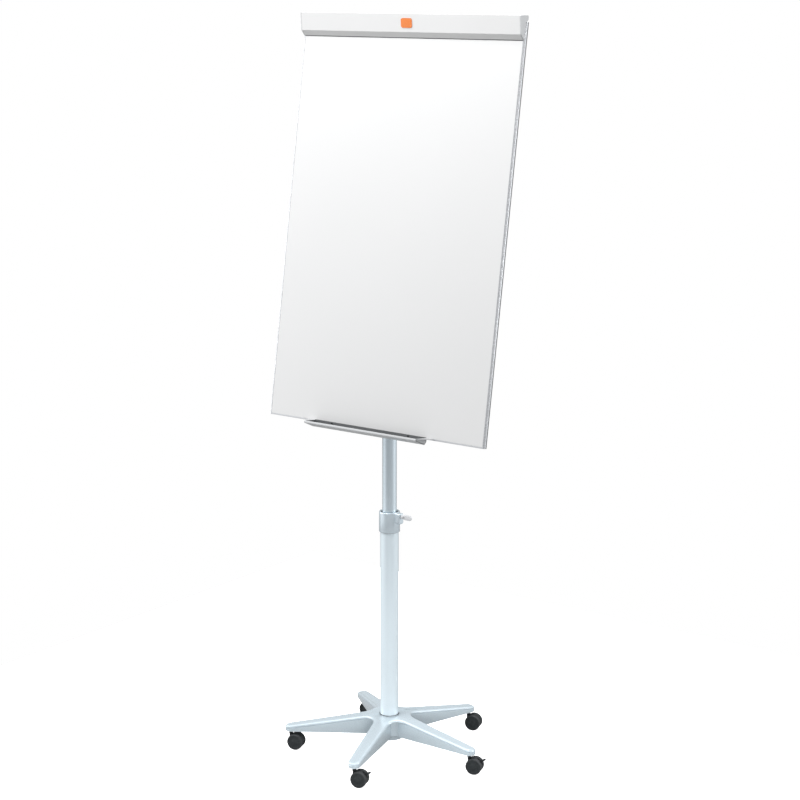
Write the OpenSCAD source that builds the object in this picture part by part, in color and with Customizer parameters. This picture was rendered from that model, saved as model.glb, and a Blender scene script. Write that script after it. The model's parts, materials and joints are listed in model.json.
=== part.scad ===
// Mobile flipchart easel: a leaning magnetic board with a hinged paper clamp, two sliding pad pegs and a
// pen tray, on a telescopic column that stands on a five-armed star base with twin-wheel castors.
// Origin: on the column's axis at floor level. +Z is up, the board faces -Y, +X is the user's right.
// All sizes are in millimetres.

/* [Board] */
// Width over the frame
board_w = 670; // [640:5:720]
// Height of the frame, bottom edge to top edge
board_h = 1026.3; // [900:0.1:1060]
// How far the board leans back in its stored pose, degrees
board_lean = 9.1; // [6:0.1:12]
// Height of the board's bottom front edge above the floor
board_z = 872.5; // [860:0.5:885]
// How far the board's bottom front edge stands in front of the column axis
board_front = 70.6; // [69:0.1:74]
// Depth of the frame rails
frame_depth = 13.9; // [13.5:0.1:15]
// Width of the frame's front lip
frame_lip = 4; // [3:0.5:6]

/* [Paper clamp] */
// Depth of the clamp bar's top in front of the board
clamp_reach = 26.2; // [24:0.1:30]
// Depth of the clamp bar's front face at its lower edge
clamp_lower = 16.1; // [15.5:0.1:18]
// Width of the blank badge on the clamp bar
badge_w = 34; // [20:1:60]
// Height of the blank badge
badge_h = 24; // [16:1:28]
// Distance from the middle of the board to each pad peg
peg_offset = 140; // [110:5:170]
// Pad peg diameter
peg_d = 7; // [6:0.5:8]

/* [Pen tray] */
// Length of the trough
tray_length = 348; // [250:2:420]
// How far the tray's middle sits to the left of the board's middle
tray_shift = 10; // [0:1:30]
// How far the tray's lip stands in front of the board
tray_reach = 46; // [40:1:60]
// Length of each pointed ear beside the trough
tray_ear = 26; // [10:1:40]

/* [Column] */
// Lower tube diameter
lower_d = 48.2; // [46:0.1:50]
// Upper tube diameter
upper_d = 37.4; // [34:0.1:38]
// Collar diameter
collar_d = 54; // [53:0.5:58]
// Height of the collar's lower edge above the floor
collar_z = 594.7; // [560:0.1:610]
// Height of the tilt pivot above the floor
pivot_z = 1050; // [1045:1:1055]

/* [Star base] */
// Radius from the column axis to the castor stems
stem_radius = 258.8; // [230:0.1:300]
// How far the star is turned under the board, degrees
star_turn = -1.4; // [-30:0.1:30]
// Half width of an arm at its tip
arm_tip = 15.5; // [13:0.5:18]
// Half width of an arm where it meets the hub
arm_root = 22.4; // [20:0.2:25]
// Radius of the web between two arms
web_radius = 32; // [24:1:40]
// Height of the flat top of the hub
star_top = 99.2; // [95:0.1:104]

/* [Castors] */
// Wheel diameter
wheel_d = 42; // [40:0.5:44]
// Distance from the castor's stem to its wheel axle
castor_trail = 14.7; // [13:0.1:16]
// Width over both wheels
castor_width = 30; // [28:0.5:34]
// Direction in which every castor trails, degrees from +X
castor_yaw = 16.4; // [-180:0.2:180]

/* [Output] */
// Sub-part to draw, or all

/* [Hidden] */
$fn = 96;
fit = 0.05;
gap = 0.3;

// star base
arms = 5;
arm_step = 360 / arms;
arm_end = stem_radius + arm_tip;
arm_taper = atan((arm_root - arm_tip) / stem_radius);
web_centre = (web_radius + arm_root * cos(arm_taper)) / sin(arm_step / 2 + arm_taper);
star_flat = 46;
arm_end_top = 63.5;
arm_slope = atan((star_top - arm_end_top) / (arm_end - star_flat));
arm_under = 49.5;
arm_wall = 4;
hollow_end = stem_radius - 12;
hollow_root = arm_root - arm_wall - 1;
hollow_tip = arm_tip - arm_wall + 0.2;
tip_steps = 20;
web_steps = 14;
hub_r = 38;
hub_under = 37;
hub_floor = 46;
hub_seat = 52;
hub_recess_r = 20;
pad_r = 9;
pad_under = 47;

// castors
stem_r = 3.5;
stem_top = 60;
stem_low = 17;
stem_flange_r = 5.5;
wheel_r = wheel_d / 2;
housing_half = 5;
wheel_in = housing_half + gap;
wheel_out = castor_width / 2;
axle_r = 2.5;
axle_half = wheel_out - 2;
neck_r = 4.8;
neck_top = 44;
hood_r = wheel_r - 0.5;
slot_half = 3.3;
lever_half = 3;
lever_x = castor_trail + 11;
lever_z = wheel_r + 10;

// column
lower_r = lower_d / 2;
lower_in = lower_r - 2;
lower_top = 626;
upper_r = upper_d / 2;
upper_in = upper_r - 1.8;
upper_low = 430;
upper_top = pivot_z - 19.8;
collar_r = collar_d / 2;
collar_h = 53.8;
collar_top = collar_z + collar_h;
collar_step = lower_top + 3;
lock_z = 639;
lock_r = 4;
lock_face = 38;
pad_in = upper_r + gap;
pad_len = 3.3;
pivot_r = 5;
tongue_half = 12.2;
tongue_r = 14;
cheek_in = tongue_half + gap;
cheek_t = 3;
cheek_out = cheek_in + cheek_t;

// the board's own frame: x across, y back from the front plane, z up the board
pivot_back = board_front * cos(board_lean) - (pivot_z - board_z) * sin(board_lean);
pivot_up = board_front * sin(board_lean) + (pivot_z - board_z) * cos(board_lean);
half_w = board_w / 2;
web_t = 1.5;
lip_t = 1;
ledge_back = 8.6;
ledge_t = 1.2;
ledge_h = 8;
bead_t = 1.5;
core_back = 8.2;
header_low = board_h - 45.6;
header_depth = frame_depth - bead_t;
header_half = half_w - ledge_h;
spine_half = 25;
spine_depth = 10;
spine_back = ledge_back + spine_depth;
spine_t = 1.5;
plate_t = 2.5;
plate_back = spine_back + plate_t;
screw_r = 2;
screw_u = 19;
screw_v = [pivot_up - 28, pivot_up + 92];

// paper clamp
hinge_back = 5.5;
hinge_up = board_h + 4.9;
hinge_r = 2;
knuckle_r = 4.6;
block_u = 200;
block_half = 15;
pin_half = 30;
clamp_top = board_h + 10.9;
clamp_wall = 2;
clamp_edge = board_h - 32.6;
clamp_lip = board_h - 45.3;
clamp_back = hinge_back + knuckle_r;
clamp_round = 4.5;
roof_rise = tan(board_lean);
relief_low = board_h - 4.2;
relief_high = board_h + 5.4;
cap_t = 3;
clamp_off = 0.4;
relief_slope = (relief_high - relief_low) / (clamp_back + clamp_off);
grip_off = 1.8;
face_tilt = atan((clamp_reach - clamp_lower) / (clamp_top - clamp_edge));
peg_up = board_h - 18.3;
peg_slot = 6;
peg_cavity = 12.4;
peg_out = 14.5;

// pen tray, as y and z in the board's frame
tray_t = 1.5;
lip_top = [-tray_reach + 0.6, 2.9];
lip_low = [-tray_reach, -2.6];
tray_low = [-7, -13.2];
tray_foot = [0, -5];
tray_rim = [0, 3.9];
ear_tilt = atan((tray_rim[1] - lip_top[1]) / -lip_top[0]);
tray_screw_u = 120;
tray_screw_v = 1.6;

paint = [0.70, 0.77, 0.82];
charcoal = [0.16, 0.17, 0.18];
steel = [0.72, 0.73, 0.75];
silver = [0.80, 0.81, 0.83];
white = [0.94, 0.94, 0.93];

// ---------------------------------------------------------------- helpers

// puts what it is given into the leaning board's frame
module on_board() {
    translate([0, -board_front, board_z])
        rotate([-board_lean, 0, 0])
            children();
}

// extrudes a (y, z) outline along X, centred
module along_x(length) {
    rotate([90, 0, 90])
        linear_extrude(height = length, center = true)
            children();
}

// extrudes an (x, z) outline along Y, centred
module along_y(length) {
    rotate([90, 0, 0])
        linear_extrude(height = length, center = true)
            children();
}

// a cylinder along X from x0 to x1
module rod_x(r, x0, x1) {
    translate([x0, 0, 0])
        rotate([0, 90, 0])
            cylinder(r = r, h = x1 - x0);
}

// a cylinder along Y from y0 to y1
module rod_y(r, y0, y1) {
    translate([0, y0, 0])
        rotate([-90, 0, 0])
            cylinder(r = r, h = y1 - y0);
}

// an upright tube from z0 to z1
module tube(r_out, r_in, z0, z1) {
    difference() {
        translate([0, 0, z0])
            cylinder(r = r_out, h = z1 - z0);
        translate([0, 0, z0 - 1])
            cylinder(r = r_in, h = z1 - z0 + 2);
    }
}

// a rectangle with rounded corners, centred
module round_rect(w, h, r) {
    square([w - 2 * r, h], center = true);
    square([w, h - 2 * r], center = true);
    for (sx = [-1, 1], sy = [-1, 1])
        translate([sx * (w / 2 - r), sy * (h / 2 - r)])
            circle(r);
}

// moves to castor number i, with +X along its trail
module at_castor(i) {
    rotate([0, 0, star_turn + i * arm_step])
        translate([stem_radius, 0, 0])
            rotate([0, 0, castor_yaw - star_turn - i * arm_step])
                children();
}

// moves from a castor's stem to its axle
module at_axle() {
    translate([castor_trail, 0, wheel_r])
        children();
}

// ---------------------------------------------------------------- star base

// a point turned about the origin
function turned(p, a) = [p[0] * cos(a) - p[1] * sin(a), p[0] * sin(a) + p[1] * cos(a)];

// outline of the star: each arm's rounded tip, then the rounded web to the next arm
module star_plan() {
    tip_span = 90 - arm_taper;
    web_span = 54 - arm_taper;
    polygon([
        for (i = [0 : arms - 1])
            for (k = [0 : tip_steps + web_steps + 1])
                let (
                    on_tip = k <= tip_steps,
                    t = -tip_span + 2 * tip_span * k / tip_steps,
                    w = 180 + web_span - 2 * web_span * (k - tip_steps - 1) / web_steps,
                    a = i * arm_step + (on_tip ? 0 : arm_step / 2)
                )
                turned(
                    on_tip ? [stem_radius + arm_tip * cos(t), arm_tip * sin(t)]
                        : [web_centre + web_radius * cos(w), web_radius * sin(w)],
                    a
                )
    ]);
}

// blocks that cut the sloping tops of the arms, lowered by drop
module star_roof(drop) {
    for (i = [0 : arms - 1])
        rotate([0, 0, i * arm_step])
            translate([star_flat, -150, star_top - drop])
                rotate([0, arm_slope, 0])
                    cube([arm_end, 300, 60]);
}

module star_shell() {
    difference() {
        translate([0, 0, arm_under])
            linear_extrude(height = star_top - arm_under)
                star_plan();
        star_roof(0);
    }
}

// the open underside of the arms
module star_hollow() {
    difference() {
        for (i = [0 : arms - 1])
            rotate([0, 0, i * arm_step])
                translate([0, 0, arm_under - 1])
                    linear_extrude(height = star_top - arm_wall - arm_under + 1)
                        polygon([
                            [30, -hollow_root],
                            [hollow_end - 6, -hollow_tip],
                            [hollow_end, -hollow_tip + 6],
                            [hollow_end, hollow_tip - 6],
                            [hollow_end - 6, hollow_tip],
                            [30, hollow_root]
                        ]);
        star_roof(arm_wall);
    }
}

module star_base() {
    color(paint)
        difference() {
            union() {
                rotate([0, 0, star_turn])
                    difference() {
                        star_shell();
                        star_hollow();
                    }
                translate([0, 0, hub_under])
                    cylinder(r = hub_r, h = star_top - hub_under - 5);
                for (i = [0 : arms - 1])
                    at_castor(i)
                        translate([0, 0, pad_under])
                            cylinder(r = pad_r, h = 8);
            }
            translate([0, 0, hub_seat])
                cylinder(r = lower_r, h = star_top);
            translate([0, 0, hub_under - 1])
                cylinder(r = hub_recess_r, h = hub_floor - hub_under + 1);
            translate([0, 0, hub_floor - 1])
                cylinder(r = pivot_r + 0.2, h = hub_seat - hub_floor + 2);
            for (i = [0 : arms - 1])
                at_castor(i)
                    translate([0, 0, pad_under - 1])
                        cylinder(r = stem_r, h = stem_top - pad_under + 1);
        }
}

module castor_stems() {
    color(charcoal)
        for (i = [0 : arms - 1])
            at_castor(i) {
                translate([0, 0, stem_low])
                    cylinder(r = stem_r, h = stem_top - stem_low);
                translate([0, 0, pad_under - 2])
                    cylinder(r = stem_flange_r, h = 2);
            }
}

module foot_ring() {
    color(charcoal)
        tube(lower_r + 1.6, lower_r, star_top, star_top + 1);
}

module lower_tube() {
    color(paint)
        tube(lower_r, lower_in, hub_seat, lower_top);
}

module tube_plug() {
    color(steel)
        tube(lower_in, pivot_r, hub_seat, hub_seat + 12);
}

module foot_bolt() {
    color(steel) {
        translate([0, 0, hub_floor - 2])
            cylinder(r = pivot_r, h = 16);
        translate([0, 0, hub_floor - 2])
            cylinder(r = 12, h = 2);
        translate([0, 0, hub_floor - 8])
            cylinder(r = 9.8, h = 6.2, $fn = 6);
    }
}

// ---------------------------------------------------------------- column

module collar() {
    color(paint)
        difference() {
            union() {
                translate([0, 0, collar_z])
                    cylinder(r = collar_r, h = collar_h);
                translate([lock_face / 2 + 10, 0, lock_z - 6])
                    along_x(lock_face - 20)
                        round_rect(19, 28, 5);
            }
            translate([0, 0, collar_z - 1])
                cylinder(r = lower_r, h = collar_step - collar_z + 1);
            translate([0, 0, collar_z])
                cylinder(r = upper_r + 0.6, h = collar_h + 1);
            translate([0, 0, collar_top - 3])
                cylinder(r1 = upper_r + 0.6, r2 = upper_r + 3.1, h = 3.1);
            translate([0, 0, lock_z])
                rod_x(lock_r + fit, 0, lock_face + 1);
        }
}

module collar_bush() {
    color(charcoal)
        difference() {
            union() {
                translate([0, 0, lower_top - 66])
                    cylinder(r = lower_in, h = 66);
                translate([0, 0, lower_top])
                    cylinder(r = lower_r - 0.1, h = 2.9);
            }
            translate([0, 0, lower_top - 67])
                cylinder(r = upper_r + fit, h = 72);
        }
}

module lock_pad() {
    color(charcoal)
        translate([0, 0, lock_z])
            rod_x(lock_r - 0.2, pad_in, pad_in + pad_len);
}

// thumb screw with a barrel and a flat wing; the thread is left plain
module lock_screw() {
    color(steel)
        translate([0, 0, lock_z]) {
            rod_x(lock_r, pad_in + pad_len + 0.05, lock_face + 4);
            rod_x(6, lock_face + 0.4, lock_face + 9);
            translate([lock_face + 8, 0, 0])
                along_y(5) {
                    translate([-7, -6])
                        square([10, 12]);
                    translate([0, -7])
                        square([17, 14]);
                    translate([17, 0])
                        circle(7);
                }
        }
}

module column_glide() {
    color(charcoal)
        difference() {
            translate([0, 0, upper_low - 6])
                cylinder(r = lower_in - 0.07, h = 44);
            translate([0, 0, upper_low - 0.3])
                cylinder(r = upper_r + fit, h = 44);
            translate([0, 0, upper_low - 7])
                cylinder(r = 6, h = 10);
        }
}

module upper_tube() {
    color(paint)
        tube(upper_r, upper_in, upper_low, upper_top);
}

// cast head: a plug in the tube, a flange on its rim and a tongue for the pivot
module tilt_head() {
    color(charcoal)
        difference() {
            union() {
                translate([0, 0, upper_top - 35])
                    cylinder(r = upper_in, h = 36);
                translate([0, 0, upper_top])
                    cylinder(r = upper_r, h = 4);
                translate([0, 0, (upper_top + pivot_z) / 2 + 1])
                    cube([2 * tongue_half, 2 * tongue_r, pivot_z - upper_top - 2], center = true);
                translate([0, 0, pivot_z])
                    rod_x(tongue_r, -tongue_half, tongue_half);
            }
            translate([0, 0, pivot_z])
                rod_x(pivot_r + fit, -20, 20);
            translate([0, 0, upper_top - 36])
                cylinder(r = 11, h = 30);
        }
}

module pivot_bolt() {
    color(steel)
        translate([0, 0, pivot_z]) {
            rod_x(pivot_r, -cheek_out - 1, cheek_out + 15);
            translate([-cheek_out - 6.5, 0, 0])
                rotate([0, 90, 0])
                    cylinder(r = 9.5, h = 6.5, $fn = 6);
        }
}

// five-lobed hand knob
module tilt_knob() {
    color(charcoal)
        translate([cheek_out + 0.4, 0, pivot_z])
            rotate([0, 90, 0])
                difference() {
                    union() {
                        cylinder(r = 9, h = 6);
                        translate([0, 0, 5])
                            linear_extrude(height = 13) {
                                circle(13);
                                for (i = [0 : 4])
                                    rotate(i * 72)
                                        translate([11.5, 0])
                                            circle(5);
                            }
                        translate([0, 0, 17])
                            cylinder(r1 = 11, r2 = 9, h = 2.5);
                    }
                    translate([0, 0, -1])
                        cylinder(r = pivot_r + fit, h = 16.5);
                }
}

// ---------------------------------------------------------------- back of the board

module tilt_bracket() {
    color(paint)
        on_board()
            difference() {
                union() {
                    translate([-24, spine_back, pivot_up - 38])
                        cube([48, plate_t, 140]);
                    for (s = [-1, 1])
                        translate([s * (cheek_in + cheek_t / 2), 0, 0])
                            along_x(cheek_t) {
                                polygon([
                                    [plate_back - 1, pivot_up - 13],
                                    [pivot_back, pivot_up - 13],
                                    [pivot_back + 9, pivot_up + 9],
                                    [plate_back - 1, pivot_up + 70]
                                ]);
                                translate([pivot_back, pivot_up])
                                    circle(13);
                            }
                }
                translate([0, pivot_back, pivot_up])
                    rod_x(pivot_r, -20, 20);
                for (u = [-screw_u, screw_u], v = screw_v)
                    translate([u, 0, v])
                        rod_y(screw_r, spine_back - 1, plate_back + 1);
            }
}

module bracket_screws() {
    color(steel)
        on_board()
            for (u = [-screw_u, screw_u], v = screw_v)
                translate([u, 0, v]) {
                    rod_y(screw_r, spine_back - 4, plate_back + 1);
                    rod_y(3.6, plate_back, plate_back + 2.2);
                }
}

module spine() {
    color(paint)
        on_board()
            difference() {
                translate([0, 0, 10])
                    linear_extrude(height = header_low - 12)
                        difference() {
                            union() {
                                translate([-spine_half, ledge_back])
                                    square([2 * spine_half, spine_depth]);
                                translate([-spine_half - 8, ledge_back])
                                    square([2 * spine_half + 16, spine_t]);
                            }
                            translate([-spine_half + spine_t, ledge_back - 1])
                                square([2 * (spine_half - spine_t), spine_depth - spine_t + 1]);
                        }
                for (u = [-screw_u, screw_u], v = screw_v)
                    translate([u, 0, v])
                        rod_y(screw_r, spine_back - 5, spine_back + 1);
            }
}

// ---------------------------------------------------------------- board

// section of a side or bottom rail: y is the depth, z runs in from the outer face
module rail_section() {
    difference() {
        union() {
            square([frame_depth, web_t]);
            square([lip_t, frame_lip]);
            translate([ledge_back, 0])
                square([ledge_t, ledge_h]);
            translate([frame_depth - bead_t, 0])
                square([bead_t, 3]);
        }
        translate([3.2, -1])
            square([2.6, 1.6]);
    }
}

// a rail along X with its outer face on z = 0, mitred at the ends that are asked for
module rail(length, mitre_left, mitre_right) {
    intersection() {
        along_x(length)
            rail_section();
        translate([0, frame_depth / 2, 0])
            along_y(frame_depth + 2)
                polygon([
                    [-length / 2, 0],
                    [length / 2, 0],
                    [length / 2 - (mitre_right ? 10 : 0), 10],
                    [-length / 2 + (mitre_left ? 10 : 0), 10]
                ]);
    }
}

module board_face() {
    color(white)
        on_board()
            translate([-half_w + frame_lip, 0, frame_lip])
                cube([board_w - 2 * frame_lip, lip_t, header_low - frame_lip]);
}

module board_core() {
    color([0.62, 0.50, 0.36])
        on_board()
            translate([-half_w + web_t, lip_t, web_t])
                cube([board_w - 2 * web_t, core_back - lip_t, header_low - web_t]);
}

module board_back() {
    color(steel)
        on_board()
            translate([-half_w + web_t, core_back, web_t])
                cube([board_w - 2 * web_t, ledge_back - core_back, header_low - web_t]);
}

// what is cut off the frame's front top corners so that the clamp's end caps swing clear
module corner_relief() {
    along_x(board_w + 2)
        polygon([
            [-1, relief_low - 1.2],
            [-1, board_h + 1],
            [-1 + (board_h + 2.2 - relief_low) / relief_slope, board_h + 1]
        ]);
}

module frame_left() {
    color(silver)
        on_board()
            difference() {
                translate([-half_w, 0, board_h / 2])
                    rotate([0, 90, 0])
                        rail(board_h, false, true);
                corner_relief();
            }
}

module frame_right() {
    color(silver)
        on_board()
            difference() {
                translate([half_w, 0, board_h / 2])
                    rotate([0, -90, 0])
                        rail(board_h, true, false);
                corner_relief();
            }
}

module frame_bottom() {
    color(silver)
        on_board()
            rail(board_w, true, true);
}

// head rail: an extrusion with a T slot for the pad pegs
module header() {
    color(silver)
        on_board()
            difference() {
                union() {
                    translate([0, 0, header_low])
                        along_x(2 * header_half)
                            square([header_depth, board_h - header_low]);
                    translate([0, 0, header_low])
                        along_x(2 * (half_w - frame_lip))
                            square([web_t, board_h - header_low]);
                }
                along_x(board_w) {
                    translate([-1, peg_up - peg_slot / 2])
                        square([4, peg_slot]);
                    translate([web_t, peg_up - peg_cavity / 2])
                        square([2.7, peg_cavity]);
                    translate([6.2, peg_up - peg_cavity / 2])
                        square([header_depth - 7.7, peg_cavity]);
                    translate([web_t, header_low + web_t])
                        square([header_depth - 2 * web_t, peg_up - peg_cavity / 2 - 2 - header_low - web_t]);
                    translate([web_t, peg_up + peg_cavity / 2 + 2])
                        square([header_depth - 2 * web_t, board_h - web_t - peg_up - peg_cavity / 2 - 2]);
                }
            }
}

module corner_plugs() {
    color(charcoal)
        on_board()
            difference() {
                for (s = [-1, 1])
                    translate([s * (half_w - web_t - (ledge_h - web_t) / 2), 0, board_h - 8])
                        translate([-(ledge_h - web_t) / 2, web_t, 0])
                            cube([ledge_h - web_t, ledge_back - web_t, 8]);
                corner_relief();
            }
}

// folded trough with a closed, pointed ear at each end
module pen_tray() {
    lip_top_in = lip_top + [tray_t, 0];
    lip_low_in = lip_low + [1.55, 1.14];
    low_in = tray_low + [-0.52, 1.7];
    foot_in = tray_foot + [-tray_t, 0.55];
    rim_in = tray_rim + [-tray_t, 0];
    color(silver)
        on_board()
            translate([-tray_shift, 0, 0])
                difference() {
                    union() {
                        along_x(tray_length + 2 * tray_t)
                            polygon([
                                lip_top, lip_low, tray_low, tray_foot,
                                tray_rim, rim_in, foot_in, low_in, lip_low_in, lip_top_in
                            ]);
                        for (s = [-1, 1])
                            translate([s * (tray_length + tray_t) / 2, 0, 0])
                                along_x(tray_t)
                                    polygon([lip_top, lip_low, tray_low, tray_foot, tray_rim]);
                        for (s = [-1, 1])
                            translate([0, 0, tray_rim[1] - tray_t])
                                rotate([ear_tilt, 0, 0])
                                    linear_extrude(height = tray_t)
                                        polygon([
                                            [s * (tray_length / 2 + 0.5), -tray_reach + 1],
                                            [s * (tray_length / 2 + tray_t), -tray_reach + 1],
                                            [s * (tray_length / 2 + tray_ear), -1.5],
                                            [s * (tray_length / 2 + tray_ear), 0],
                                            [s * (tray_length / 2 + 0.5), 0]
                                        ]);
                    }
                    for (s = [-1, 1])
                        translate([s * tray_screw_u, 0, tray_screw_v])
                            rod_y(1.5, -5, 2);
                }
}

module tray_screws() {
    color(steel)
        on_board()
            for (s = [-1, 1])
                translate([s * tray_screw_u - tray_shift, 0, tray_screw_v]) {
                    rod_y(1.5, -2, -0.1);
                    rod_y(2.2, -3.2, -1.5);
                }
}

// ---------------------------------------------------------------- paper clamp

module hinge_blocks() {
    color(charcoal)
        on_board()
            for (s = [-1, 1])
                translate([s * block_u, 0, 0])
                    along_x(2 * block_half - 2 * gap)
                        difference() {
                            union() {
                                translate([1, board_h])
                                    square([8, hinge_up - board_h]);
                                translate([hinge_back, hinge_up])
                                    circle(3.6);
                            }
                            translate([hinge_back, hinge_up])
                                circle(hinge_r);
                        }
}

module hinge_pins() {
    color(steel)
        on_board()
            for (s = [-1, 1])
                translate([s * block_u, hinge_back, hinge_up])
                    rod_x(hinge_r, -pin_half, pin_half);
}

// height of the roof's top side, which lies level when the board leans
function roof_at(y) = clamp_top + (clamp_reach + y) * roof_rise;

// middle of the roof's rounded back corner, and where an arc about it meets the roof
corner = [clamp_back - clamp_round, roof_at(clamp_back - clamp_round) - clamp_round / cos(board_lean)];
function corner_end(r) = corner + [-r * sin(board_lean), r * cos(board_lean)];

// closed outline of the clamp, used by its end caps
module clamp_outline() {
    polygon([
        [-clamp_reach, clamp_top],
        [-clamp_lower, clamp_edge],
        [-clamp_off, clamp_lip],
        [-clamp_off, relief_low],
        [clamp_back, relief_high],
        [clamp_back, corner[1]],
        corner,
        corner_end(clamp_round)
    ]);
    translate(corner)
        circle(clamp_round);
}

// extruded bar: roof, front wall, chamfered lip and back wall, with a hinge knuckle along the back wall
module clamp_bar() {
    front_in = -clamp_reach + clamp_wall / cos(face_tilt) + 0.46;
    lip_fall = (clamp_edge - clamp_lip) / (clamp_lower - clamp_off);
    lip_end = clamp_lip + (grip_off - clamp_off) * lip_fall;
    color(white)
        on_board()
            difference() {
                along_x(board_w - 2 * cap_t) {
                    polygon([
                        [-clamp_reach, clamp_top],
                        [-clamp_lower, clamp_edge],
                        [-grip_off, lip_end],
                        [-grip_off, lip_end + 2.6],
                        [-clamp_lower + 1.9, clamp_edge + 1],
                        [front_in, roof_at(front_in) - clamp_wall / cos(board_lean)],
                        corner_end(clamp_round - clamp_wall),
                        corner_end(clamp_round)
                    ]);
                    translate(corner)
                        difference() {
                            circle(clamp_round);
                            circle(clamp_round - clamp_wall);
                            rotate(board_lean)
                                translate([-20, -20])
                                    square([20, 40]);
                            translate([-20, -20])
                                square([40, 20]);
                        }
                    difference() {
                        union() {
                            translate([hinge_back, hinge_up])
                                circle(knuckle_r);
                            translate([clamp_back - clamp_wall, hinge_up])
                                square([clamp_wall, corner[1] - hinge_up]);
                        }
                        translate([hinge_back, hinge_up])
                            circle(hinge_r + fit);
                    }
                }
                for (s = [-1, 1])
                    translate([s * block_u - block_half, 0, board_h - 1])
                        cube([2 * block_half, clamp_back + 5, hinge_up - board_h + 6]);
            }
}

module clamp_cap(s) {
    color([0.80, 0.81, 0.82])
        on_board()
            translate([s * (half_w - cap_t / 2), 0, 0])
                along_x(cap_t)
                    clamp_outline();
}

// rubber strip along the bar's lip, which presses on the paper
module clamp_grip() {
    color(charcoal)
        on_board()
            translate([0, 0, clamp_lip])
                along_x(board_w - 2 * cap_t - 2)
                    polygon([
                        [-0.35, 0],
                        [-1.75, 0.4],
                        [-1.75, 4],
                        [-4.4, 6.2],
                        [-3.4, 6.8],
                        [-0.35, 6.8]
                    ]);
}

// blank rounded badge on the clamp bar's front face
module clamp_badge() {
    mid_back = -(clamp_reach + clamp_lower) / 2;
    mid_up = (clamp_top + clamp_edge) / 2;
    color([0.93, 0.49, 0.18])
        on_board()
            translate([0, mid_back, mid_up])
                rotate([face_tilt, 0, 0])
                    translate([0, -0.7, 0])
                        along_y(1.4)
                            round_rect(badge_w, badge_h, 5.5);
}

// sliding peg: a T foot in the slot, a neck, a shoulder and the pin
module peg(s) {
    color(steel)
        on_board()
            translate([s * peg_offset, 0, peg_up]) {
                translate([-8, web_t + 0.25, -peg_cavity / 2 + gap])
                    cube([16, 2.2, peg_cavity - 2 * gap]);
                translate([-6, -0.6, -peg_slot / 2 + gap])
                    cube([12, 3, peg_slot - 2 * gap]);
                rod_y(7.5, -1.9, -0.3);
                rod_y(peg_d / 2, -peg_out, -1.5);
                translate([0, -peg_out, 0])
                    rotate([90, 0, 0])
                        cylinder(r1 = peg_d / 2, r2 = peg_d / 2 - 0.8, h = 0.8);
            }
}

// ---------------------------------------------------------------- castors

// centre web, hood between the wheels and stem neck; with a slot where a brake lever sits
module castor_housing(braked) {
    color(charcoal)
        difference() {
            union() {
                at_axle()
                    difference() {
                        rod_y(hood_r, -housing_half, housing_half);
                        translate([-40, -20, -60])
                            cube([80, 40, 48]);
                    }
                translate([0, 0, 14])
                    cylinder(r = neck_r, h = neck_top - 14);
                translate([0, -neck_r, 14])
                    cube([10, 2 * neck_r, 22]);
            }
            translate([0, 0, stem_low - 1])
                cylinder(r = stem_r + fit, h = 40);
            at_axle()
                rod_y(axle_r, -20, 20);
            if (braked) {
                translate([castor_trail + 4.8, -slot_half, wheel_r + 3])
                    cube([30, 2 * slot_half, 30]);
                translate([lever_x, 0, lever_z])
                    rod_y(1.55, -20, 20);
            }
        }
}

module castor_axle() {
    color(steel)
        at_axle()
            rod_y(axle_r, -axle_half, axle_half);
}

// wheel outline as radius and distance out along the axle
module wheel_section() {
    difference() {
        polygon([
            [0, wheel_in],
            [wheel_r - 1, wheel_in],
            [wheel_r, wheel_in + 1],
            [wheel_r, wheel_out - 1.6],
            [wheel_r - 0.5, wheel_out - 0.6],
            [wheel_r - 1.6, wheel_out],
            [0, wheel_out]
        ]);
        square([axle_r + fit, axle_half + 0.3]);
        translate([14.5, wheel_out - 0.6])
            square([2, 1]);
    }
}

// s is 1 for the wheel on the left when looking along the trail, -1 for the right
module castor_wheel(s) {
    color(charcoal)
        at_axle()
            mirror([0, s > 0 ? 0 : 1, 0])
                rotate([-90, 0, 0])
                    rotate_extrude()
                        wheel_section();
}

// pedal with moulded trunnions; its point stands out of the hood
module brake_lever() {
    color(charcoal) {
        along_y(2 * lever_half)
            polygon([
                [lever_x - 3.5, lever_z + 0.5],
                [lever_x - 1, lever_z - 3.5],
                [lever_x + 8.5, lever_z + 0.5],
                [lever_x + 12.5, lever_z + 5.5],
                [lever_x + 17.5, lever_z + 8.6],
                [lever_x + 17, lever_z + 9.4],
                [lever_x + 8, lever_z + 8.2],
                [lever_x - 2, lever_z + 4.5]
            ]);
        translate([lever_x, 0, lever_z])
            rod_y(1.5, -housing_half + 0.2, housing_half - 0.2);
    }
}

// ---------------------------------------------------------------- output

star_base();
castor_stems();
foot_ring();
lower_tube();
tube_plug();
foot_bolt();
collar();
collar_bush();
lock_pad();
lock_screw();
column_glide();
upper_tube();
tilt_head();
pivot_bolt();
tilt_knob();
tilt_bracket();
bracket_screws();
spine();
board_face();
board_core();
board_back();
frame_left();
frame_right();
frame_bottom();
header();
corner_plugs();
pen_tray();
tray_screws();
hinge_blocks();
hinge_pins();
clamp_bar();
clamp_cap(-1);  // clamp_cap_left
clamp_cap(1);  // clamp_cap_right
clamp_grip();
clamp_badge();
peg(-1);  // peg_left
peg(1);  // peg_right
at_castor(0) brake_lever();  // brake_1
at_castor(4) brake_lever();  // brake_5
at_castor(0) castor_housing(true);  // castor_1_housing
at_castor(0) castor_axle();  // castor_1_axle
at_castor(0) castor_wheel(1);  // castor_1_wheel_left
at_castor(0) castor_wheel(-1);  // castor_1_wheel_right
at_castor(1) castor_housing(false);  // castor_2_housing
at_castor(1) castor_axle();  // castor_2_axle
at_castor(1) castor_wheel(1);  // castor_2_wheel_left
at_castor(1) castor_wheel(-1);  // castor_2_wheel_right
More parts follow.
